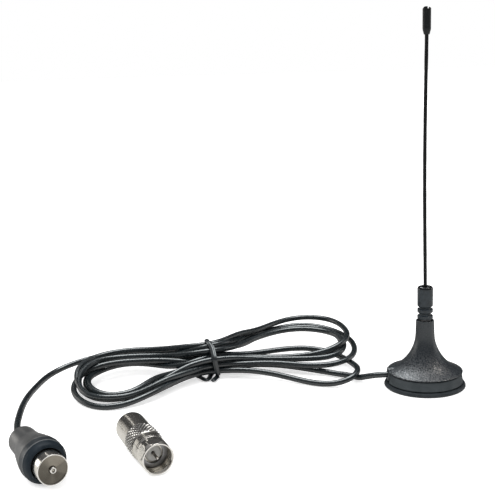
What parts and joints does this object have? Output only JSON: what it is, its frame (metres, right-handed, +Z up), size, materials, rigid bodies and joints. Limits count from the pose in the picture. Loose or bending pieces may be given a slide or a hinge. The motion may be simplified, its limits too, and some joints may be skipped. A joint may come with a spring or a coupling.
{
  "type": "indoor whip antenna",
  "caption": "Indoor aerial: thin black whip on a round magnetic base, coiled thin coaxial lead held by a wire tie, coaxial plug, and a loose metal plug adapter.",
  "frame": {"origin": "centre of the rubber foot's underside", "axes": "+Z up along the whip, +X away from the lead's outlet, -Y towards the plug and the adapter"},
  "size_m": [0.1612, 0.1509, 0.1375],
  "materials": {
    "abs_black": "matte",
    "rubber_black": "matte",
    "pvc_black": "satin",
    "black_metal": "satin",
    "nickel": "polished",
    "turned_nickel": "brushed",
    "brass": "satin",
    "copper": "satin",
    "steel": "satin",
    "ferrite": "matte",
    "dielectric": "matte"
  },
  "bodies": {
    "base": {"base_shell": "abs_black", "base_band": "rubber_black", "foot_pad": "rubber_black", "ring_magnet": "ferrite", "magnet_plate": "steel", "threaded_insert": "brass", "feed_wire": "copper", "braid_tail": "copper", "lead_clamp_ring": "steel", "lead_jacket": "pvc_black", "lead_core_base": "dielectric", "lead_core_plug": "dielectric", "twist_tie": "pvc_black", "plug_overmould": "rubber_black", "plug_sleeve": "nickel", "plug_face": "turned_nickel", "plug_insulator": "dielectric", "plug_pin": "nickel", "plug_crimp": "brass"},
    "washer": {"lock_washer": "steel"},
    "whip": {"whip_ferrule": "black_metal", "whip_stud": "steel", "whip_rod": "black_metal", "tip_cap": "black_metal"},
    "adapter": {"adapter_body": "nickel", "adapter_nut_clip": "steel", "adapter_front_insulator": "dielectric", "adapter_pin": "nickel", "adapter_rear_insulator": "dielectric", "adapter_socket_contact": "brass"},
    "nut": {"adapter_nut": "nickel"}
  },
  "joints": [
    {"name": "whip_lift", "type": "slide", "parent": "base", "child": "washer", "axis": [0, 0, 1], "range_m": [0, 0.008]},
    {"name": "whip_turn", "type": "hinge", "parent": "washer", "child": "whip", "pos_m": [0, 0, 0.0252], "axis": [0, 0, 1], "range_deg": [0, 5790]},
    {"name": "adapter_lift", "type": "slide", "parent": "base", "child": "adapter", "axis": [0, 0, 1], "range_m": [0, 0.04]},
    {"name": "nut_spin", "type": "hinge", "parent": "adapter", "child": "nut", "pos_m": [-0.0907, -0.07635, 0.0055], "axis": [0.4163, -0.9092, 0], "continuous": true}
  ],
  "couplings": [
    {"joint": "whip_turn", "follows": "whip_lift", "rad_per_m": 12566}
  ]
}
